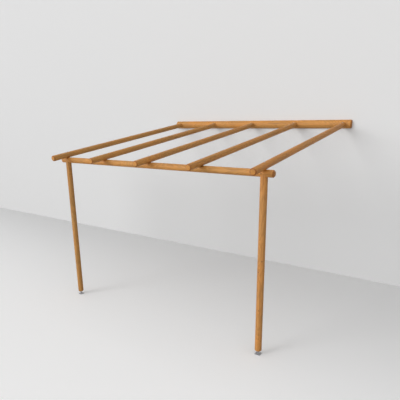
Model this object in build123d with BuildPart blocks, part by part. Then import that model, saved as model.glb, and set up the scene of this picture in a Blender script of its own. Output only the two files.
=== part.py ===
from build123d import *
import math
import os

os.makedirs("parts", exist_ok=True)

# A lean-to pergola of turned round logs, in millimetres.
# The origin is on the wall, at the middle of the wall plate's flat back.
# X runs along the wall, Y points into the wall and Z points up.

# Logs
post_diameter = 100.0
beam_diameter = 100.0
rafter_diameter = 100.0
wall_plate_diameter = 164.0
end_bevel = 15.0

# Layout
wall_plate_height = 3126.0
beam_height = 2680.0
beam_distance = 3715.0
rafter_count = 5
rafter_spacing = 960.0
rafter_overhang = 350.0
beam_overhang = 145.0
wall_plate_overhang = 140.0

# Joints between the logs
seat_clearance = 0.3
saddle_depth = 5.0
rafter_drop = 8.0
post_cope_depth = 35.0

# Steel feet
foot_height = 58.0
foot_bevel = 12.0
plate_width = 80.0
plate_thickness = 8.0
plate_corner = 4.0
anchor_spacing = 56.0
anchor_hole_diameter = 9.0
rod_diameter = 20.0
rod_in_post = 130.0
rod_bevel = 1.5
rod_clearance = 0.2
socket_clearance = 1.0
weld_leg = 6.0
nut_width = 30.0
nut_height = 16.0
nut_bevel_angle = 30.0
seat_diameter = 64.0
seat_thickness = 6.0
seat_bevel = 0.8

# Radii
post_radius = post_diameter / 2
beam_radius = beam_diameter / 2
rafter_radius = rafter_diameter / 2
wall_plate_radius = wall_plate_diameter / 2
rod_radius = rod_diameter / 2

# Places of the logs, measured from the origin
ground_z = -wall_plate_height
beam_y = -beam_distance
beam_z = ground_z + beam_height
post_x = rafter_spacing * (rafter_count - 1) / 2
wall_plate_length = 2 * (post_x + wall_plate_overhang)
beam_length = 2 * (post_x + beam_overhang)

# A rafter's axis runs from over the beam up to the face of the wall plate
rafter_low_z = beam_z + beam_radius + rafter_radius - saddle_depth
rafter_run = beam_distance - wall_plate_radius
rafter_rise = -rafter_drop - rafter_low_z
rafter_pitch = math.atan2(rafter_rise, rafter_run)
rafter_direction = Vector(0, math.cos(rafter_pitch), math.sin(rafter_pitch))
rafter_slant = math.hypot(rafter_run, rafter_rise)
rafter_stock = rafter_overhang + rafter_slant + wall_plate_radius / 2

# Levels of a foot, from the ground up
plate_top_z = ground_z + plate_thickness
post_foot_z = ground_z + foot_height
seat_low_z = post_foot_z - seat_thickness
nut_low_z = seat_low_z - nut_height
rod_top_z = post_foot_z + rod_in_post
post_top_z = beam_z - beam_radius + post_cope_depth


def level(x, z):
    """A horizontal plane centred over a post's foot."""
    return Plane(origin=(x, beam_y, z), x_dir=(1, 0, 0), z_dir=(0, 0, 1))


def across(x, y, z):
    """A plane square to the wall, for a log or a bore that runs along the wall."""
    return Plane(origin=(x, y, z), x_dir=(0, 1, 0), z_dir=(1, 0, 0))


def save(piece, name):
    """Label a finished piece and write it to its own file."""
    piece.label = name
    export_step(piece, f"parts/{name}.step")


# Wall plate: a bevelled log sawn in half, with the flat side on the wall
with BuildPart() as wall_plate:
    with BuildSketch(across(0, 0, 0)):
        Circle(wall_plate_radius)
    extrude(amount=wall_plate_length / 2, both=True)
    chamfer(wall_plate.edges().filter_by(GeomType.CIRCLE), length=end_bevel)
    split(bisect_by=Plane.XZ, keep=Keep.TOP)
save(wall_plate.part, "wall_plate")


# Front beam: a whole log with both ends bevelled
with BuildPart() as front_beam:
    with BuildSketch(across(0, beam_y, beam_z)):
        Circle(beam_radius)
    extrude(amount=beam_length / 2, both=True)
    chamfer(front_beam.edges().filter_by(GeomType.CIRCLE), length=end_bevel)
save(front_beam.part, "front_beam")


# Rafters: each has a bevelled front end, a saddle that sits down on the beam
# and a rear end coped to the round face of the wall plate
for number in range(rafter_count):
    rafter_x = rafter_spacing * number - post_x
    over_beam = Vector(rafter_x, beam_y, rafter_low_z)
    front_end = over_beam - rafter_direction * rafter_overhang
    with BuildPart() as rafter:
        with BuildSketch(Plane(origin=front_end, x_dir=(1, 0, 0), z_dir=rafter_direction)):
            Circle(rafter_radius)
        extrude(amount=rafter_stock)
        front_rim = rafter.edges().filter_by(GeomType.CIRCLE).sort_by(Axis.Y)[0]
        chamfer(front_rim, length=end_bevel)
        with BuildSketch(across(rafter_x, beam_y, beam_z)):
            Circle(beam_radius + seat_clearance)
        extrude(amount=rafter_diameter, both=True, mode=Mode.SUBTRACT)
        with BuildSketch(across(rafter_x, 0, 0)):
            Circle(wall_plate_radius + seat_clearance)
        extrude(amount=rafter_diameter, both=True, mode=Mode.SUBTRACT)
    save(rafter.part, f"rafter_{number + 1}")


# Posts and their steel feet, left and right
for side, foot_x in (("left", -post_x), ("right", post_x)):

    # Post: head coped round the beam, foot bevelled and bored for the rod
    with BuildPart() as post:
        with BuildSketch(level(foot_x, post_foot_z)):
            Circle(post_radius)
        extrude(amount=post_top_z - post_foot_z)
        foot_rim = post.edges().filter_by(GeomType.CIRCLE).sort_by(Axis.Z)[0]
        chamfer(foot_rim, length=foot_bevel)
        with BuildSketch(across(foot_x, beam_y, beam_z)):
            Circle(beam_radius + seat_clearance)
        extrude(amount=post_diameter, both=True, mode=Mode.SUBTRACT)
        with BuildSketch(level(foot_x, post_foot_z)):
            Circle(rod_radius + socket_clearance)
        extrude(amount=rod_in_post + socket_clearance, mode=Mode.SUBTRACT)
    save(post.part, f"post_{side}")

    # Base plate: a square plate with a weld collar and four anchor holes
    with BuildPart() as foot_plate:
        with BuildSketch(level(foot_x, ground_z)):
            RectangleRounded(plate_width, plate_width, plate_corner)
        extrude(amount=plate_thickness)
        with BuildSketch(level(foot_x, plate_top_z)):
            Circle(rod_radius + weld_leg)
        extrude(amount=weld_leg, taper=45)
        with Locations(level(foot_x, plate_top_z)):
            with GridLocations(anchor_spacing, anchor_spacing, 2, 2):
                Hole(anchor_hole_diameter / 2)
        with BuildSketch(level(foot_x, ground_z)):
            Circle(rod_radius + rod_clearance)
        extrude(amount=plate_thickness + weld_leg, mode=Mode.SUBTRACT)
    save(foot_plate.part, f"foot_plate_{side}")

    # Threaded rod: stands in the plate and reaches up inside the post
    with BuildPart() as foot_rod:
        with BuildSketch(level(foot_x, ground_z)):
            Circle(rod_radius)
        extrude(amount=rod_top_z - ground_z)
        chamfer(foot_rod.edges().filter_by(GeomType.CIRCLE), length=rod_bevel)
    save(foot_rod.part, f"foot_rod_{side}")

    # Adjusting nut: a hexagon whose corners are turned off to a cone
    nut_corner = nut_width / math.sqrt(3)
    nut_cone_drop = (nut_corner - nut_width / 2) * math.tan(math.radians(nut_bevel_angle))
    with BuildPart() as foot_nut:
        with BuildSketch(level(foot_x, nut_low_z)):
            RegularPolygon(radius=nut_corner, side_count=6)
            Circle(rod_radius + rod_clearance, mode=Mode.SUBTRACT)
        extrude(amount=nut_height)
        with BuildSketch(Plane(origin=(foot_x, beam_y, nut_low_z), x_dir=(1, 0, 0), z_dir=(0, -1, 0))):
            with BuildLine():
                Polyline(
                    (0, 0),
                    (nut_width / 2, 0),
                    (nut_corner, nut_cone_drop),
                    (nut_corner, nut_height - nut_cone_drop),
                    (nut_width / 2, nut_height),
                    (0, nut_height),
                    close=True,
                )
            make_face()
        revolve(axis=Axis((foot_x, beam_y, nut_low_z), (0, 0, 1)), mode=Mode.INTERSECT)
    save(foot_nut.part, f"foot_nut_{side}")

    # Seat: a round steel washer that carries the end of the post
    with BuildPart() as foot_seat:
        with BuildSketch(level(foot_x, seat_low_z)):
            Circle(seat_diameter / 2)
            Circle(rod_radius + rod_clearance, mode=Mode.SUBTRACT)
        extrude(amount=seat_thickness)
        outer_rims = foot_seat.edges().filter_by(GeomType.CIRCLE).sort_by(SortBy.RADIUS)[-2:]
        chamfer(outer_rims, length=seat_bevel)
    save(foot_seat.part, f"foot_seat_{side}")

print("rafter pitch in degrees", round(math.degrees(rafter_pitch), 3))
print("rafter length along its axis", round(rafter_overhang + rafter_slant, 1))
print("post length", round(post_top_z - post_foot_z, 1))
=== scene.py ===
# %% [markdown]
# # A lean-to pergola of turned logs
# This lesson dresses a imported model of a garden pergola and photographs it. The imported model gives
# every log and every steel foot its true size and place, in metres: X runs along the house wall,
# Y points into the wall and Z points up. The origin is on the wall, behind the upper log.

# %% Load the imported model
import bpy
import math
from mathutils import Matrix, Vector


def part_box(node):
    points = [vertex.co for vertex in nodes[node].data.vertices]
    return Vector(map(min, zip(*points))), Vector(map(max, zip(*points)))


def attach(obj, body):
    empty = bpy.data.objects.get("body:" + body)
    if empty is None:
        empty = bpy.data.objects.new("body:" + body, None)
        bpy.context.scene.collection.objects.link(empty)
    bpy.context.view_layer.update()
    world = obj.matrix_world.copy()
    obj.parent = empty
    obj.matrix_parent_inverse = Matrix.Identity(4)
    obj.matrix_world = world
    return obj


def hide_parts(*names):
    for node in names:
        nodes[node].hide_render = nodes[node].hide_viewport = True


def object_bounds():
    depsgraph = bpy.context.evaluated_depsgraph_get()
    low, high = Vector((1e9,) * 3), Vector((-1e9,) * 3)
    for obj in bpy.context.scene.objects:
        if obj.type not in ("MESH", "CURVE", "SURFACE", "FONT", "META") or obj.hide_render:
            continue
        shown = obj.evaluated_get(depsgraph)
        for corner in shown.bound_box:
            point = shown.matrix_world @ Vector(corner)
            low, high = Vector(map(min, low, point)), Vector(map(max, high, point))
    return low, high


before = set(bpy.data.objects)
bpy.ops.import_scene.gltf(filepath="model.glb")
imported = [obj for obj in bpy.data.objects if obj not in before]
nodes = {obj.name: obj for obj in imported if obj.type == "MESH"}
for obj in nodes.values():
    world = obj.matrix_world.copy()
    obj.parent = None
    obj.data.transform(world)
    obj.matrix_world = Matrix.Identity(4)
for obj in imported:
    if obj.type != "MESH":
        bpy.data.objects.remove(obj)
cad_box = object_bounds()
print("loaded", len(nodes), "pieces, from", tuple(cad_box[0]), "to", tuple(cad_box[1]))

# %% [markdown]
# ## The camera
# The picture is taken from the front and the right, a little above the wall's log, and looks down by
# sixteen degrees. Its lens has the angle of a normal lens. The middle of the lens isn't in the middle
# of the picture, because the picture was cropped, so the camera is shifted by that much and no more.

# %% Set up the camera
picture_width = 400
focal_length_px = 414.235
lens_middle_px = (165.0, 229.862)
camera_place = Vector((4.13959, -8.77089, 0.39932))
camera_yaw = math.radians(37.4717)
camera_pitch = math.radians(16.2802)
camera_roll = math.radians(1.938)

level_ahead = Vector((-math.sin(camera_yaw), math.cos(camera_yaw), 0))
ahead = math.cos(camera_pitch) * level_ahead - Vector((0, 0, math.sin(camera_pitch)))
below = -math.sin(camera_pitch) * level_ahead - Vector((0, 0, math.cos(camera_pitch)))
beside = Vector((math.cos(camera_yaw), math.sin(camera_yaw), 0))
picture_right = math.cos(camera_roll) * beside + math.sin(camera_roll) * below
picture_down = -math.sin(camera_roll) * beside + math.cos(camera_roll) * below

camera_data = bpy.data.cameras.new("camera")
camera_data.sensor_width = 36
camera_data.lens = focal_length_px / picture_width * camera_data.sensor_width
camera_data.shift_x = (picture_width / 2 - lens_middle_px[0]) / picture_width
camera_data.shift_y = (lens_middle_px[1] - picture_width / 2) / picture_width
camera_data.clip_end = 200
camera = bpy.data.objects.new("camera", camera_data)
bpy.context.scene.collection.objects.link(camera)
camera_axes = Matrix((picture_right, -picture_down, -ahead)).transposed()
camera.matrix_world = Matrix.Translation(camera_place) @ camera_axes.to_4x4()
bpy.context.scene.camera = camera
print("lens", round(camera_data.lens, 2), "mm")
print("shift", round(camera_data.shift_x, 4), round(camera_data.shift_y, 4))

# %% [markdown]
# ## Where each log lies
# A log is described by a point on its pith, the direction that it grew in and how far it was rolled
# before it was laid down. The wood's pattern is set out along that line, so the grain runs with the
# log and the rings show on its sawn ends. The rafters rise towards the wall by their pitch.

# %% Describe the logs
rafter_names = [f"rafter_{number}" for number in range(1, 6)]
post_names = ["post_left", "post_right"]
log_names = ["wall_plate", "front_beam", *rafter_names, *post_names]
log_radius = 0.050
rafter_pitch = math.radians(5.393)
saddle_depth = 0.005


def middle(node):
    """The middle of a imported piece's box."""
    low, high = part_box(node)
    return (low + high) / 2


def log_line(node):
    """A point on the log's pith and the turn that lays the X axis along the log."""
    point = middle(node)
    if node == "wall_plate":
        return Vector((point.x, 0, point.z)), Matrix.Identity(3)
    if node in rafter_names:
        over_beam = middle("front_beam") + Vector((point.x, 0, 2 * log_radius - saddle_depth))
        point.z = over_beam.z + (point.y - over_beam.y) * math.tan(rafter_pitch)
        return point, Matrix.Rotation(rafter_pitch, 3, "X") @ Matrix.Rotation(math.pi / 2, 3, "Z")
    if node in post_names:
        return point, Matrix.Rotation(-math.pi / 2, 3, "Y")
    return point, Matrix.Identity(3)


for name in log_names:
    print(name, "pith through", [round(value, 3) for value in log_line(name)[0]])

# %% [markdown]
# ## A short way to write a material
# A material is a net of nodes, which could be laid out with the mouse. In a script each node takes
# several lines, so the helpers below add a node and join it up in one line. With them, each finish
# further down reads as a list of what is on the real surface.

# %% Add and join nodes


def give(tree, socket, value):
    """Join a socket to another node, or set a plain value on it."""
    if isinstance(value, bpy.types.NodeSocket):
        tree.links.new(value, socket)
    else:
        socket.default_value = value


def add_node(tree, kind, settings=None, **inputs):
    """Add a node, set its options, and give each named input a value or a link."""
    node = tree.nodes.new(kind)
    for option, value in (settings or {}).items():
        setattr(node, option, value)
    for title, value in inputs.items():
        give(tree, node.inputs[title.replace("_", " ")], value)
    return node


def sum_of(tree, operation, *values, clamp=False):
    """One step of arithmetic on numbers."""
    node = add_node(tree, "ShaderNodeMath", {"operation": operation, "use_clamp": clamp})
    for socket, value in zip(node.inputs, values):
        give(tree, socket, value)
    return node.outputs[0]


def vector_of(tree, operation, *values, result="Vector"):
    """One step of arithmetic on points."""
    node = add_node(tree, "ShaderNodeVectorMath", {"operation": operation})
    for socket, value in zip(node.inputs, values):
        give(tree, socket, value)
    return node.outputs[result]


print("nodes can be added and joined")

# %% Fade, mix and start a material


def fade(tree, value, start, end, low=0.0, high=1.0):
    """Turn a number that runs from start to end into one that runs softly from low to high."""
    node = add_node(tree, "ShaderNodeMapRange", {"interpolation_type": "SMOOTHSTEP"}, Value=value,
                    From_Min=start, From_Max=end, To_Min=low, To_Max=high)
    return node.outputs["Result"]


def mix_colour(tree, amount, first, second, blend="MIX"):
    """Mix two colours, or lay the second on the first in another way."""
    node = add_node(tree, "ShaderNodeMix", {"data_type": "RGBA", "blend_type": blend})
    # a Mix node also has sockets for numbers and points, so the ones for colours go by their place
    for place, value in ((0, amount), (6, first), (7, second)):
        give(tree, node.inputs[place], value)
    return node.outputs[2]


def new_material(title):
    """A material with a plain shader, and the tree to build in."""
    material = bpy.data.materials.new(title)
    material.use_nodes = True
    tree = material.node_tree
    return material, tree, tree.nodes["Principled BSDF"]


print("colours can be faded and mixed")

# %% [markdown]
# ## Turned pine
# Each log is a whole young tree that was turned to one thickness and stained honey brown. The rings
# lie round a pith that wanders a little, so the lathe cuts through some of them, and that draws the
# long flames seen on a turned log. A picture of wood wrapped round a log wouldn't fit its sawn ends.
# So the pattern is made as a tree makes it: rings round a wandering line, cut by the surface.

# %% The wood's measurements
ring_width = 0.0034
ring_wobble = 0.010
pith_wander = 0.0544
knot_cell = 0.125
knot_radius = 0.0085
knot_swell = 0.012
tree_step = 17.3
roll_step = 1.9
print("a ring every", ring_width * 1000, "mm, a knot", knot_radius * 2000, "mm across")

# %% How quickly each pattern changes along and across a log
fibre_quickness = (9, 420, 420)
streak_quickness = (1.1, 46, 46)
patch_quickness = (2.6, 7, 7)
wobble_quickness = (2.2, 22, 22)
wander_quickness = 0.9
lathe_quickness = 55.0
print("fibres change", fibre_quickness[1], "times in a metre across the log")

# %% The stain's colours
honey_light = (0.630, 0.296, 0.070, 1)
honey_dark = (0.370, 0.161, 0.036, 1)
cool_stain = (0.93, 0.95, 1.00, 1)
warm_stain = (1.07, 1.00, 0.90, 1)
knot_brown = (0.200, 0.072, 0.024, 1)
knot_rim_brown = (0.160, 0.055, 0.020, 1)
bevel_stain = (0.66, 0.54, 0.46, 1)
# the sawn ends' tints are painted light and shade: a touch lighter on the rafters' front ends, which face the
# light, and darker on all the sawn ends of the beam and the wall's log, as on their shaded right-hand ends
painted_lit_end_tint = (1.04, 1.03, 1.00, 1)
painted_shaded_end_tint = (0.80, 0.78, 0.76, 1)
summer_share = 0.42
streak_share = 0.40
fibre_share = 0.20
knot_share = 0.80
rim_share = 0.70
print("honey from", honey_light[:3], "to", honey_dark[:3])

# %% Lay the pattern along a log


def lay_along(tree, node, number):
    """Places measured from the log's pith, with X along it, and how far up its tree each place is."""
    point, turn = log_line(node)
    roll = Matrix.Rotation(roll_step * number + 0.4, 3, "X")
    place = add_node(tree, "ShaderNodeTexCoord").outputs["Object"]
    mapping = add_node(tree, "ShaderNodeMapping", {"vector_type": "TEXTURE"}, Vector=place)
    mapping.inputs["Location"].default_value = point
    mapping.inputs["Rotation"].default_value = (turn @ roll).to_euler()
    in_log = mapping.outputs["Vector"]
    along = add_node(tree, "ShaderNodeSeparateXYZ", Vector=in_log).outputs["X"]
    return in_log, sum_of(tree, "ADD", along, tree_step * number)


def log_noise(tree, in_log, quickness, start, detail, roughness=0.5):
    """Noise drawn out along the log, from its own start so that no two logs share it."""
    place = vector_of(tree, "ADD", vector_of(tree, "MULTIPLY", in_log, quickness), start)
    noise = add_node(tree, "ShaderNodeTexNoise", Vector=place, Scale=1.0, Detail=detail,
                     Roughness=roughness)
    return noise.outputs[0]


print("patterns follow the logs")

# %% [markdown]
# Knots are the feet of branches, and branches leave the pith square to it. So a knot is a cell of a
# pattern that is set out by the direction from the pith and by the height up the tree, and it looks
# round on the turned skin and long on a face that is sawn through the pith.

# %% Draw the knots


def knots_in(tree, in_log, up_tree):
    """The knots, their dark rims, and the swelling of the wood round them."""
    outwards = vector_of(tree, "NORMALIZE", vector_of(tree, "MULTIPLY", in_log, (0, 1, 1)))
    outwards = vector_of(tree, "SCALE", outwards)
    outwards.node.inputs["Scale"].default_value = log_radius / knot_cell
    cells_up = sum_of(tree, "DIVIDE", up_tree, knot_cell)
    branch = add_node(tree, "ShaderNodeCombineXYZ", X=cells_up).outputs[0]
    branch = vector_of(tree, "ADD", branch, outwards)
    cells = add_node(tree, "ShaderNodeTexVoronoi", Vector=branch, Scale=1.0)
    from_knot = sum_of(tree, "MULTIPLY", cells.outputs["Distance"], knot_cell)
    knot = fade(tree, from_knot, knot_radius, knot_radius * 0.75)
    near_knot = fade(tree, from_knot, knot_radius * 1.35, knot_radius)
    rim = sum_of(tree, "MULTIPLY", near_knot, sum_of(tree, "SUBTRACT", 1.0, knot))
    swell = sum_of(tree, "POWER", fade(tree, from_knot, knot_radius * 5, 0), 2.0)
    return knot, rim, swell


print("knots every", knot_cell, "m or so")

# %% Draw the rings


def rings_in(tree, in_log, up_tree, swell, number):
    """The dark summer wood of each ring, round a pith that wanders from side to side."""
    wander = add_node(tree, "ShaderNodeTexNoise", {"noise_dimensions": "1D"}, W=up_tree,
                      Scale=wander_quickness, Detail=1.0)
    sway = vector_of(tree, "SUBTRACT", wander.outputs["Color"], (0.5, 0.5, 0.5))
    sway = vector_of(tree, "MULTIPLY", sway, (0, pith_wander, pith_wander))
    from_pith = vector_of(tree, "MULTIPLY", vector_of(tree, "ADD", in_log, sway), (0, 1, 1))
    radius = vector_of(tree, "LENGTH", from_pith, result="Value")
    uneven = log_noise(tree, in_log, wobble_quickness, (3.7 * number, 0, 0), 3.0)
    wobble = sum_of(tree, "MULTIPLY", sum_of(tree, "SUBTRACT", uneven, 0.5), ring_wobble)
    radius = sum_of(tree, "ADD", radius, wobble)
    radius = sum_of(tree, "ADD", radius, sum_of(tree, "MULTIPLY", swell, knot_swell))
    ring = sum_of(tree, "FRACT", sum_of(tree, "DIVIDE", radius, ring_width))
    # the dark wood comes on slowly through the summer, and ends sharply with the autumn
    return sum_of(tree, "MULTIPLY", fade(tree, ring, 0.15, 0.86), fade(tree, ring, 1.0, 0.93))


print("rings round a pith that wanders", round(pith_wander / 2, 3), "m at most")

# %% [markdown]
# The stain goes on last. Soft wood drinks more of it than the hard summer rings, knots stay brown, and
# it dries in cooler and warmer patches. End grain drinks most, so the bevels are the darkest.

# %% Stain the wood


def stained(tree, grain, knot, rim, warmth, tone):
    """Honey on the wood and brown on the knots, with a tone for the whole log."""
    colour = mix_colour(tree, grain, honey_light, honey_dark)
    patch_stain = mix_colour(tree, warmth, cool_stain, warm_stain)
    colour = mix_colour(tree, 1.0, colour, patch_stain, "MULTIPLY")
    colour = mix_colour(tree, sum_of(tree, "MULTIPLY", knot, knot_share), colour, knot_brown)
    colour = mix_colour(tree, sum_of(tree, "MULTIPLY", rim, rim_share), colour, knot_rim_brown)
    return mix_colour(tree, 1.0, colour, (*tone, 1), "MULTIPLY")


def stain_cuts(tree, colour, node):
    """Darker bevels, and painted light and shade on the sawn ends: darker on the beam and the wall's log, a
    touch lighter on the rafters.
    """
    facing = add_node(tree, "ShaderNodeNewGeometry").outputs["True Normal"]
    log_axis = log_line(node)[1] @ Vector((1, 0, 0))
    endwise = vector_of(tree, "DOT_PRODUCT", facing, log_axis, result="Value")
    endwise = sum_of(tree, "ABSOLUTE", endwise)
    # endwise is 0 on the log's side, about 0.7 on a bevel and 1 on a sawn end
    # painted shade on the sawn ends of the beam and the wall's log, and a touch of painted light on the
    # rafters' front ends
    sawn_end_painted_light = painted_lit_end_tint if node in rafter_names else painted_shaded_end_tint
    cut_stain = mix_colour(tree, fade(tree, endwise, 0.85, 0.95), bevel_stain, sawn_end_painted_light)
    on_cut = mix_colour(tree, 1.0, colour, cut_stain, "MULTIPLY")
    return mix_colour(tree, fade(tree, endwise, 0.35, 0.6), colour, on_cut)


print("stain ready")

# %% Feel the skin


def turned_skin(tree, in_log, summer, fibre, knot):
    """Summer wood, fibres and knots that stand up a little, and the lathe's fine ridges."""
    lathe = add_node(tree, "ShaderNodeTexWave", {"bands_direction": "X"}, Vector=in_log,
                     Scale=lathe_quickness, Distortion=1.2)
    height = sum_of(tree, "MULTIPLY", summer, 0.35)
    for pattern, share in ((fibre, 0.9), (lathe.outputs["Fac"], 0.12), (knot, 0.8)):
        height = sum_of(tree, "ADD", height, sum_of(tree, "MULTIPLY", pattern, share))
    bump = add_node(tree, "ShaderNodeBump", Height=height, Strength=0.55, Distance=0.00035)
    return bump.outputs["Normal"]


print("the turned skin is ready")

# %% Put the wood together


def turned_pine(node, number, tone):
    """Stained pine whose grain follows one log. Each log gets its own stretch of tree."""
    material, tree, shader = new_material(f"pine_{node}")
    in_log, up_tree = lay_along(tree, node, number)
    knot, rim, swell = knots_in(tree, in_log, up_tree)
    summer = rings_in(tree, in_log, up_tree, swell, number)
    fibre = log_noise(tree, in_log, fibre_quickness, (0, 0, 0), 4.0, 0.65)
    streaks = log_noise(tree, in_log, streak_quickness, (9.1 * number, 3, 0), 3.0, 0.6)
    patches = log_noise(tree, in_log, patch_quickness, (5.3 * number, 0, 8), 2.0)

    grain = sum_of(tree, "MULTIPLY", summer, summer_share)
    grain = sum_of(tree, "ADD", grain, fade(tree, streaks, 0.36, 0.70, 0, streak_share))
    grain = sum_of(tree, "ADD", grain, fade(tree, fibre, 0.35, 0.75, -0.06, fibre_share), clamp=True)
    colour = stained(tree, grain, knot, rim, fade(tree, patches, 0.3, 0.7), tone)
    tree.links.new(stain_cuts(tree, colour, node), shader.inputs["Base Color"])

    # the oiled summer wood is a little smoother than the soft spring wood
    roughness = fade(tree, fibre, 0.3, 0.7, 0.52, 0.66)
    roughness = sum_of(tree, "SUBTRACT", roughness, sum_of(tree, "MULTIPLY", summer, 0.08))
    tree.links.new(roughness, shader.inputs["Roughness"])
    tree.links.new(turned_skin(tree, in_log, summer, fibre, knot), shader.inputs["Normal"])
    shader.inputs["Specular IOR Level"].default_value = 0.4
    return material


print("each log starts", tree_step, "m farther up the tree")

# %% Mix the wood for each log
log_tones = {
    "wall_plate": (1.06, 1.05, 1.05), "front_beam": (1.03, 1.04, 1.10),
    "rafter_1": (1.04, 1.10, 1.25), "rafter_2": (1.06, 1.10, 1.18), "rafter_3": (1.05, 1.07, 1.12),
    "rafter_4": (1.03, 1.03, 1.03), "rafter_5": (1.02, 0.96, 0.85),
    "post_left": (0.92, 0.99, 1.18), "post_right": (1.00, 1.00, 1.16),
}
pine = {name: turned_pine(name, number, log_tones[name]) for number, name in enumerate(log_names)}
print("wood for", len(pine), "logs")

# %% [markdown]
# ## Tools for shaping by hand
# Everything is shaped as it would be with the mouse: add a simple body at its size and place, go into
# edit mode, pick edges or faces by where they are, and bevel, inset or cut them. A finished piece has
# its turn and place pressed into its mesh, because the patterns are laid out in the pergola's own frame.

# %% Helpers for edit mode


def start_body(add, title, **sizes):
    """Add one of Blender's simple bodies with nothing else selected."""
    if bpy.context.object and bpy.context.object.mode != "OBJECT":
        bpy.ops.object.mode_set(mode="OBJECT")
    bpy.ops.object.select_all(action="DESELECT")
    add(**sizes)
    body = bpy.context.object
    body.name = title
    return body


def pick(body, kind, wanted):
    """In edit mode, select the vertices, edges or faces that a test accepts."""
    bpy.context.view_layer.objects.active = body
    bpy.ops.object.mode_set(mode="EDIT")
    bpy.ops.mesh.select_mode(type={"vertices": "VERT", "edges": "EDGE", "polygons": "FACE"}[kind])
    bpy.ops.mesh.select_all(action="DESELECT")
    bpy.ops.object.mode_set(mode="OBJECT")
    for element in getattr(body.data, kind):
        element.select = bool(wanted(element))
    bpy.ops.object.mode_set(mode="EDIT")


def done(body):
    """Leave edit mode."""
    bpy.ops.object.mode_set(mode="OBJECT")
    return body


print("edges and faces can be picked")

# %% Helpers for whole bodies
fewest_faces_left = 0.4


def choose(*bodies):
    """Select some bodies and nothing else, with the first of them active."""
    bpy.ops.object.select_all(action="DESELECT")
    for body in bodies:
        body.select_set(True)
    bpy.context.view_layer.objects.active = bodies[0]


def press_in_place(body):
    """Put a body's place, turn and size into its mesh."""
    choose(body)
    bpy.ops.object.transform_apply(location=True, rotation=True, scale=True)
    return body


def apply_modifier(body, kind, **settings):
    """Add one modifier and apply it at once."""
    choose(body)
    modifier = body.modifiers.new(kind.lower(), kind)
    for option, value in settings.items():
        setattr(modifier, option, value)
    bpy.ops.object.modifier_apply(modifier=modifier.name)
    return body


def cut_away(body, cutter):
    """Cut the shape of the cutter out of the body, and throw the cutter away."""
    faces_before = len(body.data.polygons)
    apply_modifier(body, "BOOLEAN", operation="DIFFERENCE", solver="EXACT", object=cutter)
    if len(body.data.polygons) < faces_before * fewest_faces_left:
        raise RuntimeError(f"a cut in {body.name} went wrong")
    bpy.data.objects.remove(cutter)
    return body


def smooth(body, degrees):
    """Smooth the round faces and keep the edges that are sharper than an angle."""
    choose(body)
    bpy.ops.object.shade_smooth_by_angle(angle=math.radians(degrees))


print("bodies can be pressed in place, cut and smoothed")

# %% [markdown]
# ## Turning a log
# A lathe leaves a log round and nearly even. The log starts as a cylinder with its ends bevelled, and
# is cut into short rings so that it can be made a little uneven. The saw's cuts come next: the flat
# back of the wall's log, the saddles of the rafters and the hollowed heads of the posts. Each is cut
# with a body of the log that lies in it, a third of a millimetre thicker all round.

# %% The logs' measurements
end_bevel = 0.015
foot_bevel = 0.012
sanded_edge = 0.0015
seat_gap = 0.0003
log_sides = 64
ring_length = 0.075
wall_plate_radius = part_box("wall_plate")[1].z
beam_line = middle("front_beam")
along_wall = (0, math.pi / 2, 0)
upright = (0, 0, 0)
print("the wall's log has a radius of", round(wall_plate_radius, 4), "m")

# %% Find the edges of a log that lies along X
nearly = 0.0006


def corners_of(body, edge):
    """The places of the two corners that an edge joins."""
    return [body.data.vertices[corner].co for corner in edge.vertices]


def in_end(body, edge, direction, far_along):
    """Whether an edge lies in the end that is farthest along a direction."""
    return all(corner @ direction > far_along - nearly for corner in corners_of(body, edge))


def on_bevel_rim(body, edge, direction, far_along, depth):
    """Whether an edge runs round one of the two rims that a bevel leaves."""
    first, second = [corner @ direction for corner in corners_of(body, edge)]
    off_rim = min(abs(first - far_along), abs(first - far_along + depth))
    return abs(first - second) < nearly and off_rim < nearly


def runs_along(body, edge, length):
    """Whether an edge runs from one end of the log to the other."""
    near, far = corners_of(body, edge)
    return abs(near.x - far.x) > length * 0.8


print("edges count as level within", nearly * 1000, "mm")

# %% Turn one log
unevenness = bpy.data.textures.new("lathe_unevenness", "CLOUDS")
unevenness.noise_scale = 0.22
unevenness_height = 0.0012


def bevel_end(body, direction, far_along, depth):
    """Bevel the rim of the end that lies farthest along a direction, and sand the bevel's edges."""
    pick(body, "edges", lambda edge: in_end(body, edge, direction, far_along))
    bpy.ops.mesh.bevel(offset=depth, offset_type="OFFSET", segments=1, affect="EDGES")
    done(body)
    pick(body, "edges", lambda edge: on_bevel_rim(body, edge, direction, far_along, depth))
    bpy.ops.mesh.bevel(offset=sanded_edge, offset_type="OFFSET", segments=2, affect="EDGES")
    return done(body)


def turned_log(node, centre, length, radius, turn, bevels):
    """A round log along its own X axis, with its named ends bevelled: 1 is the far end, -1 the near one."""
    body = start_body(bpy.ops.mesh.primitive_cylinder_add, f"{node}_log", vertices=log_sides,
                      radius=radius, depth=length, location=(0, 0, 0), rotation=along_wall)
    press_in_place(body)
    for end, depth in bevels.items():
        bevel_end(body, Vector((end, 0, 0)), length / 2, depth)
    pick(body, "edges", lambda edge: runs_along(body, edge, length))
    bpy.ops.mesh.subdivide(number_cuts=round(length / ring_length))
    done(body)
    body.matrix_world = Matrix.Translation(centre) @ turn.to_4x4()
    press_in_place(body)
    return apply_modifier(body, "DISPLACE", texture=unevenness, texture_coords="LOCAL",
                          strength=unevenness_height, mid_level=0.5)


print("a log is uneven by", unevenness_height * 1000, "mm in all")

# %% Turn the wall's log and the beam
both_ends = {1: end_bevel, -1: end_bevel}
logs = {}
for name in ("wall_plate", "front_beam"):
    low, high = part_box(name)
    point, turn = log_line(name)
    logs[name] = turned_log(name, point, high.x - low.x, high.z - point.z, turn, both_ends)

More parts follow.
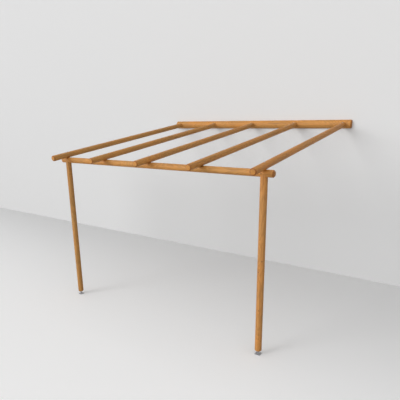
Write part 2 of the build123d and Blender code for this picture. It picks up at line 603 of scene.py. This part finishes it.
saw_cut = start_body(bpy.ops.mesh.primitive_cube_add, "cutter", size=1, location=(0, 0.25, 0),
                     scale=(5, 0.5, 0.5))
cut_away(logs["wall_plate"], saw_cut)
print("turned", list(logs))

# %% Hollow one log where it meets another
cope_reach = 0.2
cutter_sides = 128


def round_cutter(centre, radius, length, turn):
    """A plain round body to cut with. It never shows."""
    return start_body(bpy.ops.mesh.primitive_cylinder_add, "cutter", vertices=cutter_sides, radius=radius,
                      depth=length, location=centre, rotation=turn)


def cope(name, y, z, radius):
    """Hollow a log where it meets a round one that runs along the wall."""
    cutter = round_cutter((middle(name).x, y, z), radius + seat_gap, cope_reach, along_wall)
    cut_away(logs[name], cutter)


print("hollows are", seat_gap * 1000, "mm wider than the log in them")

# %% Turn the rafters
rafter_reach = 4.045
for name in rafter_names:
    point, turn = log_line(name)
    uphill = turn @ Vector((1, 0, 0))
    front_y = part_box(name)[0].y + (log_radius - end_bevel) * math.sin(rafter_pitch)
    front = point + uphill * (front_y - point.y) / uphill.y
    centre = front + uphill * rafter_reach / 2
    logs[name] = turned_log(name, centre, rafter_reach, log_radius, turn, {-1: end_bevel})
    cope(name, beam_line.y, beam_line.z, log_radius)
    cope(name, 0, 0, wall_plate_radius)
    print(name, "has", len(logs[name].data.polygons), "faces")

# %% Turn the posts and drill them for their rods
socket_radius = 0.011
socket_depth = 0.131
drill_start = 0.01
for name in post_names:
    low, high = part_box(name)
    point, turn = log_line(name)
    logs[name] = turned_log(name, point, high.z - low.z, log_radius, turn, {-1: foot_bevel})
    cope(name, beam_line.y, beam_line.z, log_radius)
    socket_middle = (point.x, point.y, low.z + socket_depth / 2 - drill_start / 2)
    cut_away(logs[name], round_cutter(socket_middle, socket_radius, socket_depth + drill_start, upright))
    print(name, "has", len(logs[name].data.polygons), "faces")

# %% [markdown]
# ## Drying cracks
# A log with its pith inside always cracks as it dries, because it shrinks more round its rings than
# across them. Long thin cracks open along the grain and close again, and short ones star out from the
# pith on the sawn ends. A painted crack would have no depth and no shadow in it. So each is cut with a
# long thin blade that is pulled a little out of line, and it wanders as a real one does.

# %% Make one blade
import random

wavering = bpy.data.textures.new("crack_wavering", "CLOUDS")
wavering.noise_scale = 0.16
crack_waver = 0.010


def crack_blade(place, turn, half_length, half_width, half_depth, waver):
    """A thin lens with its length along X and its depth along Z, bent out of line by a slow noise."""
    blade = start_body(bpy.ops.mesh.primitive_uv_sphere_add, "blade", segments=8, ring_count=40, radius=1,
                       location=(0, 0, 0), rotation=(0, math.pi / 2, 0))
    press_in_place(blade)
    blade.scale = (half_length, half_width, half_depth)
    press_in_place(blade)
    blade.matrix_world = Matrix.Translation(place) @ turn.to_4x4()
    if waver:
        apply_modifier(blade, "DISPLACE", texture=wavering, texture_coords="GLOBAL", direction="Y",
                       strength=waver, mid_level=0.5)
    return press_in_place(blade)


print("blades wander by", crack_waver * 1000, "mm in all")

# %% Long cracks along the grain


def crack_along(node, start, side, half_length, half_width, depth):
    """One long crack: start is its middle's distance from the log's middle, side its angle round the log."""
    point, turn = log_line(node)
    round_turn = turn @ Matrix.Rotation(side, 3, "X")
    radius = wall_plate_radius if node == "wall_plate" else log_radius
    place = point + turn @ Vector((start, 0, 0)) + round_turn @ Vector((0, 0, radius))
    cut_away(logs[node], crack_blade(place, round_turn, half_length, half_width, depth, crack_waver))


long_cracks = {
    "wall_plate": [(-1.15, 2.0, 0.42), (0.62, 1.2, 0.55)],
    "front_beam": [(-0.55, 1.9, 0.50), (1.28, 0.9, 0.34), (0.35, -0.9, 0.45)],
    "rafter_1": [(-0.60, -0.5, 0.55), (0.90, 2.4, 0.40)],
    "rafter_2": [(0.35, 0.6, 0.60), (-1.00, -2.3, 0.35)],
    "rafter_3": [(-0.35, -1.0, 0.48), (1.10, 0.2, 0.38)],
    "rafter_4": [(0.75, -0.3, 0.58), (-0.80, 2.0, 0.42)],
    "rafter_5": [(0.15, 0.4, 0.50), (-1.10, -1.4, 0.30)],
    "post_left": [(0.35, 1.3, 0.46), (-0.70, -1.6, 0.36)],
    "post_right": [(-0.45, 1.9, 0.44), (0.60, -0.9, 0.38)],
}
chance = random.Random(11)
for name, cracks in long_cracks.items():
    for start, side, half_length in cracks:
        half_width = chance.uniform(0.0009, 0.0014)
        depth = chance.uniform(0.014, 0.022)
        crack_along(name, start, side, half_length, half_width, depth)
print(sum(len(cracks) for cracks in long_cracks.values()), "long cracks")

# %% Short cracks on the sawn ends
cracks_per_end = 3
star_depth = 0.012
heart_clearance = 0.0035


def heart_of(node, outward):
    """Where the pith comes out on a sawn end."""
    corners = [vertex.co for vertex in logs[node].data.vertices]
    reach = max(corner @ outward for corner in corners)
    face = [corner for corner in corners if corner @ outward > reach - 0.003]
    heart = sum(face, Vector()) / len(face)
    if node == "wall_plate":
        # this log was sawn through its pith, so its heart lies just in front of the saw cut
        heart.y, heart.z = -0.004, 0.0
    return heart


def cracks_on_end(node, end, chance):
    """Short cracks that star out from the pith on a sawn end."""
    turn = log_line(node)[1]
    heart = heart_of(node, turn @ Vector((end, 0, 0)))
    first_side = chance.uniform(0, 2)
    for number in range(cracks_per_end):
        side = first_side + number * 2 * math.pi / cracks_per_end + chance.uniform(-0.3, 0.3)
        if node == "wall_plate":
            # the half log has its cracks on the side away from the wall
            side = math.radians(45 + 45 * number + chance.uniform(-12, 12))
        spoke = turn @ Matrix.Rotation(side, 3, "X")
        length = chance.uniform(0.009, 0.016)
        half_width = chance.uniform(0.0004, 0.0008)
        blade_axes = [spoke @ Vector(axis) for axis in ((0, 0, 1), (0, 1, 0), (-1, 0, 0))]
        place = heart + spoke @ Vector((0, 0, length + heart_clearance))
        blade = crack_blade(place, Matrix(blade_axes).transposed(), length, half_width, star_depth, 0)
        cut_away(logs[node], blade)


sawn_ends = [("wall_plate", -1), ("wall_plate", 1), ("front_beam", -1), ("front_beam", 1)]
sawn_ends += [(name, -1) for name in rafter_names]
for name, end in sawn_ends:
    cracks_on_end(name, end, chance)
print("cracks on", len(sawn_ends), "sawn ends")

# %% Finish the logs
log_crease = 32
for name, body in logs.items():
    smooth(body, log_crease)
    body.data.materials.clear()
    body.data.materials.append(pine[name])
    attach(body, "root")
    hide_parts(name)
    print(name, "finished with", len(body.data.polygons), "faces")

# %% [markdown]
# ## Galvanised steel
# The feet are dipped in molten zinc. The skin is a matt grey that freezes in flakes a few millimetres
# across, each a slightly different grey, with a fine grain over it. One even grey would look painted,
# so the flakes are cells of a pattern, each with a shade of its own.

# %% Make the steel


def galvanised(title, grey, flake_size, roughness):
    """Zinc-dipped steel: flakes of uneven grey, a cloudy bloom and a fine tooth."""
    material, tree, shader = new_material(title)
    place = add_node(tree, "ShaderNodeTexCoord").outputs["Object"]
    flakes = add_node(tree, "ShaderNodeTexVoronoi", Vector=place, Scale=1 / flake_size)
    flake = add_node(tree, "ShaderNodeSeparateColor", Color=flakes.outputs["Color"]).outputs["Red"]
    bloom = add_node(tree, "ShaderNodeTexNoise", Vector=place, Scale=45.0, Detail=4.0).outputs[0]
    tooth = add_node(tree, "ShaderNodeTexNoise", Vector=place, Scale=900.0, Detail=2.0).outputs[0]

    flake_shade = fade(tree, flake, 0, 1, -0.10, 0.10)
    bloom_shade = fade(tree, bloom, 0.3, 0.7, -0.08, 0.08)
    shade = sum_of(tree, "ADD", flake_shade, bloom_shade)
    level = sum_of(tree, "MULTIPLY", sum_of(tree, "ADD", shade, 1.0), grey)
    blue_level = sum_of(tree, "MULTIPLY", level, 1.03)
    colour = add_node(tree, "ShaderNodeCombineColor", Red=level, Green=level, Blue=blue_level)
    tree.links.new(colour.outputs[0], shader.inputs["Base Color"])

    flake_feel = fade(tree, flake, 0, 1, -0.06, 0.06)
    bloom_feel = fade(tree, bloom, 0.3, 0.7, roughness - 0.05, roughness + 0.08)
    tree.links.new(sum_of(tree, "ADD", flake_feel, bloom_feel), shader.inputs["Roughness"])
    bump = add_node(tree, "ShaderNodeBump", Height=tooth, Strength=0.35, Distance=0.0001)
    tree.links.new(bump.outputs["Normal"], shader.inputs["Normal"])
    shader.inputs["Metallic"].default_value = 0.9
    return material


foot_steel = galvanised("galvanised_feet", grey=0.46, flake_size=0.006, roughness=0.42)
foot_names = [f"foot_{part}_{side}" for part in ("plate", "rod", "nut", "seat") for side in ("left", "right")]
for name in foot_names:
    for place in range(len(nodes[name].material_slots)):
        nodes[name].material_slots[place].material = foot_steel
print("steel on", len(foot_names), "pieces")

# %% [markdown]
# ## Threaded rods
# Each post stands on a threaded rod, so that it can be set level. A thread is one tooth that climbs
# round the rod, so one tooth is drawn and a Screw modifier winds it up the whole length. The core is a
# plain round bar of the thread's inner width, bevelled at its ends.

# %% Shape the bar and one tooth
thread_pitch = 0.0025
thread_depth = 0.0015
thread_sides = 32
tooth_root = 0.0006
tooth_share = 0.98
bar_bevel = 0.0012


def bevelled_bar(title, centre, radius, length):
    """A round upright bar with both ends bevelled."""
    bar = start_body(bpy.ops.mesh.primitive_cylinder_add, title, vertices=thread_sides, radius=radius,
                     depth=length, location=centre)
    press_in_place(bar)
    pick(bar, "polygons", lambda face: abs(face.normal.z) > 0.9)
    bpy.ops.mesh.bevel(offset=bar_bevel, offset_type="OFFSET", segments=1, affect="EDGES")
    return done(bar)


def span(body, axis):
    """The least and the greatest place of a body's corners along one axis."""
    places = [vertex.co[axis] for vertex in body.data.vertices]
    return min(places), max(places)


def one_tooth(outer):
    """An upright triangle beside the rod's axis, with its point at the outer radius."""
    tooth = start_body(bpy.ops.mesh.primitive_circle_add, "tooth", vertices=3, radius=1, fill_type="NGON",
                       location=(0, 0, 0), rotation=(math.pi / 2, math.pi / 2, 0))
    press_in_place(tooth)
    near, far = span(tooth, 0)
    bottom, top = span(tooth, 2)
    reach_scale = (thread_depth + tooth_root) / (far - near)
    tooth.scale = (reach_scale, 1, thread_pitch * tooth_share / (top - bottom))
    press_in_place(tooth)
    tooth.location = (outer - span(tooth, 0)[1], 0, 0)
    return press_in_place(tooth)


print("the thread climbs", thread_pitch * 1000, "mm in a turn")

# %% Wind the threads
plain_end = 0.003
thread_crease = 35


def wind_up(tooth, foot, length):
    """Wind the tooth round a rod, from a little above its foot to a little below its top."""
    turns = int((length - 2 * plain_end) / thread_pitch)
    steps = thread_sides * turns
    apply_modifier(tooth, "SCREW", axis="Z", angle=2 * math.pi * turns, screw_offset=thread_pitch * turns,
                   steps=steps, render_steps=steps, use_merge_vertices=False)
    pick(tooth, "polygons", lambda face: True)
    bpy.ops.mesh.normals_make_consistent(inside=False)
    done(tooth)
    tooth.location = (foot.x, foot.y, foot.z + plain_end)
    return press_in_place(tooth)


def threaded_rod(node):
    """A round core with one triangular tooth wound round it."""
    low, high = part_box(node)
    centre = (low + high) / 2
    outer = (high.x - low.x) / 2
    core = bevelled_bar(f"threaded_{node}", centre, outer - thread_depth, high.z - low.z)
    thread = wind_up(one_tooth(outer), Vector((centre.x, centre.y, low.z)), high.z - low.z)
    choose(core, thread)
    bpy.ops.object.join()
    smooth(core, thread_crease)
    return core


for side in ("left", "right"):
    rod = threaded_rod(f"foot_rod_{side}")
    rod.data.materials.clear()
    rod.data.materials.append(foot_steel)
    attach(rod, "root")
    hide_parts(f"foot_rod_{side}")
    print(rod.name, "has", len(rod.data.polygons), "faces")

# %% [markdown]
# ## Anchors and screws
# Four hexagon bolts with washers hold each foot plate to its footing. The rafters are held by long
# timber screws with a broad round head and a six-sided socket, one over the beam and one near the wall.
# All are zinc plated, which is smoother and brighter than the dipped feet. One of each is modelled, and
# the rest are copies with meshes of their own.

# %% The fixings' measurements
anchor_step = 0.028
washer_radius = 0.0080
washer_top = 0.0016
bolt_head_radius = 0.0075
bolt_head_top = 0.0069
screw_head_radius = 0.0110
screw_head_low = -0.0012
screw_head_top = 0.0030
screw_socket_radius = 0.0036
shank_radius = 0.0040
fixing_crease = 30
print("bolt heads", bolt_head_radius * 2000, "mm and screw heads", screw_head_radius * 2000, "mm across")

# %% Make one anchor


def join_bodies(bodies):
    """Join bodies into the first of them."""
    choose(*bodies)
    bpy.ops.object.join()
    return bodies[0]


def round_disc(title, radius, low_z, high_z, bevel, sides=32):
    """An upright disc with softened rims."""
    disc = start_body(bpy.ops.mesh.primitive_cylinder_add, title, vertices=sides, radius=radius,
                      depth=high_z - low_z, location=(0, 0, (low_z + high_z) / 2))
    press_in_place(disc)
    pick(disc, "polygons", lambda face: abs(face.normal.z) > 0.9)
    bpy.ops.mesh.bevel(offset=bevel, offset_type="OFFSET", segments=2, affect="EDGES")
    return done(disc)


def anchor_bolt():
    """A hexagon bolt head on a washer, with its shank going down through the plate."""
    washer = round_disc("anchor_bolt", washer_radius, 0, washer_top, 0.0003)
    head = round_disc("head", bolt_head_radius, washer_top, bolt_head_top, 0.0007, sides=6)
    pick(head, "polygons", lambda face: face.normal.z > 0.9)
    bpy.ops.mesh.inset(thickness=0.0009, depth=0.0)
    bpy.ops.mesh.inset(thickness=0.0006, depth=0.0003)
    done(head)
    shank = round_disc("shank", shank_radius, -0.0080, 0.0002, 0.0004, sides=24)
    bolt = join_bodies([washer, head, shank])
    smooth(bolt, fixing_crease)
    return bolt


first_bolt = anchor_bolt()
print("one anchor has", len(first_bolt.data.polygons), "faces")

# %% Make one screw


def timber_screw():
    """A broad low round head with a six-sided socket, on a short stub of its shank."""
    head = round_disc("timber_screw", screw_head_radius, screw_head_low, screw_head_top, 0.0012)
    pick(head, "polygons", lambda face: face.normal.z > 0.9)
    bpy.ops.mesh.inset(thickness=0.0030, depth=0.0006)
    done(head)
    socket = start_body(bpy.ops.mesh.primitive_cylinder_add, "cutter", vertices=6, depth=0.006,
                        radius=screw_socket_radius, location=(0, 0, 0.0036))
    cut_away(head, socket)
    shank = round_disc("shank", shank_radius, -0.0200, -0.0010, 0.0006, sides=24)
    screw = join_bodies([head, shank])
    smooth(screw, fixing_crease)
    return screw


first_screw = timber_screw()
print("one screw has", len(first_screw.data.polygons), "faces")

# %% Copy a fixing


def copy_to(original, title, place, turn):
    """A copy with a mesh of its own, pressed into its place."""
    piece = original.copy()
    piece.data = original.data.copy()
    piece.name = title
    bpy.context.scene.collection.objects.link(piece)
    piece.matrix_world = Matrix.Translation(place) @ turn.to_4x4()
    press_in_place(piece)
    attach(piece, "root")
    return piece


zinc = galvanised("zinc_plated", grey=0.55, flake_size=0.002, roughness=0.34)
for original in (first_bolt, first_screw):
    original.data.materials.clear()
    original.data.materials.append(zinc)

print("zinc plated", first_bolt.name, "and", first_screw.name)

# %% Place the anchors
plate_thickness = 0.008
plate_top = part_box("foot_plate_left")[0].z + plate_thickness
bolt_count = 0
for side in ("left", "right"):
    foot = middle(f"foot_plate_{side}")
    for step_x in (-anchor_step, anchor_step):
        for step_y in (-anchor_step, anchor_step):
            bolt_count += 1
            place = Vector((foot.x + step_x, foot.y + step_y, plate_top))
            turn = Matrix.Rotation(0.5 * bolt_count, 3, "Z")
            bolt = copy_to(first_bolt, f"anchor_bolt_{bolt_count}", place, turn)
bpy.data.objects.remove(first_bolt)
print(bolt_count, "anchors")

# %% Place the screws
rear_screw_y = -0.145
tilt = Matrix.Rotation(rafter_pitch, 3, "X")
square_up = tilt @ Vector((0, 0, 1))
screw_count = 0
for name in rafter_names:
    point, turn = log_line(name)
    uphill = turn @ Vector((1, 0, 0))
    for target_y in (beam_line.y, rear_screw_y):
        screw_count += 1
        place = point + uphill * (target_y - point.y) / uphill.y + square_up * log_radius
        screw = copy_to(first_screw, f"timber_screw_{screw_count}", place, tilt)
bpy.data.objects.remove(first_screw)
print(screw_count, "timber screws")

# %% [markdown]
# ## The studio
# A plain pale floor carries the feet, and a plain wall stands where the upper log is fixed. Neither
# belongs to the pergola. Both look pale to the camera but throw back less light than they seem to, as
# if they stood far off, so that the shaded sides of the logs stay dark. Their paint holds painted shade:
# the floor darkens towards the wall, where the light falls off, and the wall has a painted shadow of the
# pergola.

# %% How pale the floor and the wall are


def floor_grey_with_painted_shade(tree, place):
    """White in front, with painted shade where the light falls off: darker towards the wall and a little to
    the right. A little darker again far out in front.
    """
    # painted shade: the floor darkens towards the wall and a little to the right
    towards_wall = sum_of(tree, "ADD", place["Y"], sum_of(tree, "MULTIPLY", place["X"], 0.15))
    far_in_front = fade(tree, place["Y"], -6.5, -11.0, 1.0, 0.84)
    return sum_of(tree, "MULTIPLY", fade(tree, towards_wall, -5.2, 0.0, 1.0, 0.785), far_in_front)


def wall_grey_with_painted_shadow(tree, place):
    """One grey, with a painted shadow of the pergola: a little darker low down, from just left of the pergola
    onwards.
    """
    low_down = fade(tree, place["Z"], -0.4, -2.0)
    to_the_right = fade(tree, place["X"], -4.7, -2.4)
    # the painted shadow of the pergola on the wall
    shade = sum_of(tree, "MULTIPLY", low_down, to_the_right)
    return sum_of(tree, "SUBTRACT", 0.757, sum_of(tree, "MULTIPLY", shade, 0.075))


print("greys ready")

# %% Mix the studio's paint


def seen_by_camera(tree):
    """1 where the camera looks, also through metal and glass, and 0 where light is thrown back."""
    ray = add_node(tree, "ShaderNodeLightPath").outputs
    seen = sum_of(tree, "MAXIMUM", ray["Is Camera Ray"], ray["Is Glossy Ray"])
    return sum_of(tree, "MAXIMUM", seen, ray["Is Transmission Ray"])


def mix_surfaces(tree, share, first, second):
    """The first surface where the share is 0, and the second where it is 1."""
    mix = add_node(tree, "ShaderNodeMixShader")
    for socket, value in zip(mix.inputs, (share, first, second)):
        give(tree, socket, value)
    return mix.outputs[0]


def stage_paint(title, paleness, bounce_grey, one_sided):
    """Plain paint whose light on other things is set apart from how pale it looks."""
    paint, tree, shader = new_material(title)
    place = add_node(tree, "ShaderNodeTexCoord").outputs["Object"]
    grey = paleness(tree, add_node(tree, "ShaderNodeSeparateXYZ", Vector=place).outputs)
    colour = add_node(tree, "ShaderNodeCombineColor", Red=grey, Green=grey, Blue=grey)
    tree.links.new(colour.outputs[0], shader.inputs["Base Color"])
    shader.inputs["Roughness"].default_value = 0.8
    shader.inputs["Specular IOR Level"].default_value = 0.1
    bounce = add_node(tree, "ShaderNodeBsdfDiffuse", Color=(bounce_grey, bounce_grey, bounce_grey, 1))
    surface = mix_surfaces(tree, seen_by_camera(tree), bounce.outputs[0], shader.outputs[0])
    if one_sided:
        behind = add_node(tree, "ShaderNodeNewGeometry").outputs["Backfacing"]
        clear = add_node(tree, "ShaderNodeBsdfTransparent").outputs[0]
        surface = mix_surfaces(tree, behind, surface, clear)
    tree.links.new(surface, tree.nodes["Material Output"].inputs["Surface"])
    return paint


print("paint ready")

# %% Build the floor and the wall
ground_level = cad_box[0].z
stage_half = 40.0
wall_height = 14.0
floor_gap = 0.0004
wall_gap = 0.0006


def flat_stage(title, turn, place, scale):
    """One large flat sheet of the studio."""
    sheet = start_body(bpy.ops.mesh.primitive_plane_add, title, size=2, location=place, rotation=turn)
    sheet.scale = scale
    press_in_place(sheet)
    return sheet


floor = flat_stage("floor", (0, 0, 0), (0, 0, ground_level - floor_gap), (stage_half, stage_half, 1))
floor.data.materials.append(stage_paint("floor_paint", floor_grey_with_painted_shade, bounce_grey=0.50, one_sided=False))
wall = flat_stage("wall", (math.pi / 2, 0, 0), (0, wall_gap, ground_level + wall_height / 2),
                  (stage_half, wall_height / 2, 1))
wall.data.materials.append(stage_paint("wall_paint", wall_grey_with_painted_shadow, bounce_grey=0.30, one_sided=True))
print("floor at", round(ground_level, 3), "m, and a wall", wall_height, "m high")

# %% [markdown]
# The pergola is also looked at from behind. So the wall shows from its front only, and it is open where
# the upper log covers it, which lets the light from behind reach the log's flat back.

# %% Open the wall behind the upper log
plate_low, plate_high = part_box("wall_plate")
hidden_edge = 0.006
side_cuts = [((x, 0, 0), (1, 0, 0)) for x in (plate_low.x + hidden_edge, plate_high.x - hidden_edge)]
level_cuts = [((0, 0, z), (0, 0, 1)) for z in (plate_low.z + hidden_edge, plate_high.z - hidden_edge)]
for place, normal in side_cuts + level_cuts:
    pick(wall, "polygons", lambda face: True)
    bpy.ops.mesh.bisect(plane_co=place, plane_no=normal)
    done(wall)


def behind_log(face):
    """Whether a face of the wall is hidden by the upper log."""
    return abs(face.center.x) < plate_high.x and abs(face.center.z) < plate_high.z


pick(wall, "polygons", behind_log)
bpy.ops.mesh.delete(type="FACE")
done(wall)
print("the wall has", len(wall.data.polygons), "faces round its opening")

# %% [markdown]
# ## The light
# Most of the light comes softly from the front and the left, as from a row of tall windows, and weaker
# glows come from above and from behind the wall. Windows alone would leave hardly any shadows, so a
# broad low sun on the same side adds soft ones. Together they light a surface that faces them at about
# its own colour.

# %% Set the sun
sun_data = bpy.data.lights.new("window_light", "SUN")
sun_data.energy = 1.00
sun_data.angle = math.radians(28)
sun = bpy.data.objects.new("window_light", sun_data)
bpy.context.scene.collection.objects.link(sun)
sun_from = Vector((-0.49, -0.83, 0.34))
sun.matrix_world = sun_from.to_track_quat("Z", "Y").to_matrix().to_4x4()
print("sun of strength", sun_data.energy, "from", tuple(round(v, 2) for v in sun_from))

# %% Set the glow of the windows
window_side = Vector((-0.40, -0.91, 0.02)).normalized()
window_strength = 0.88
window_focus = 1.5
even_strength = 0.27
top_strength = 0.52
rear_strength = 0.60
backdrop_grey = 0.80

world = bpy.data.worlds.new("sky")
bpy.context.scene.world = world
world.use_nodes = True
tree = world.node_tree
direction = vector_of(tree, "NORMALIZE", add_node(tree, "ShaderNodeTexCoord").outputs["Generated"])
towards_window = vector_of(tree, "DOT_PRODUCT", direction, window_side, result="Value")
window_glow = sum_of(tree, "POWER", sum_of(tree, "MAXIMUM", towards_window, 0.0), window_focus)
glow = sum_of(tree, "ADD", sum_of(tree, "MULTIPLY", window_glow, window_strength), even_strength)
towards = add_node(tree, "ShaderNodeSeparateXYZ", Vector=direction).outputs
for share, strength in ((towards["Z"], top_strength), (towards["Y"], rear_strength)):
    side_glow = sum_of(tree, "MULTIPLY", sum_of(tree, "MAXIMUM", share, 0.0), strength)
    glow = sum_of(tree, "ADD", glow, side_glow)
print("windows towards", tuple(round(v, 2) for v in window_side))

# %% Light the scene with the glow, and show the camera a plain pale grey
sky = tree.nodes["Background"]
sky.inputs["Color"].default_value = (1, 1, 1, 1)
tree.links.new(glow, sky.inputs["Strength"])
backdrop_colour = (backdrop_grey, backdrop_grey, backdrop_grey, 1)
backdrop = add_node(tree, "ShaderNodeBackground", Color=backdrop_colour, Strength=1.0)
either = mix_surfaces(tree, seen_by_camera(tree), sky.outputs[0], backdrop.outputs[0])
tree.links.new(either, tree.nodes["World Output"].inputs["Surface"])
bpy.context.scene.view_settings.view_transform = "Standard"
print("backdrop grey", backdrop_grey)
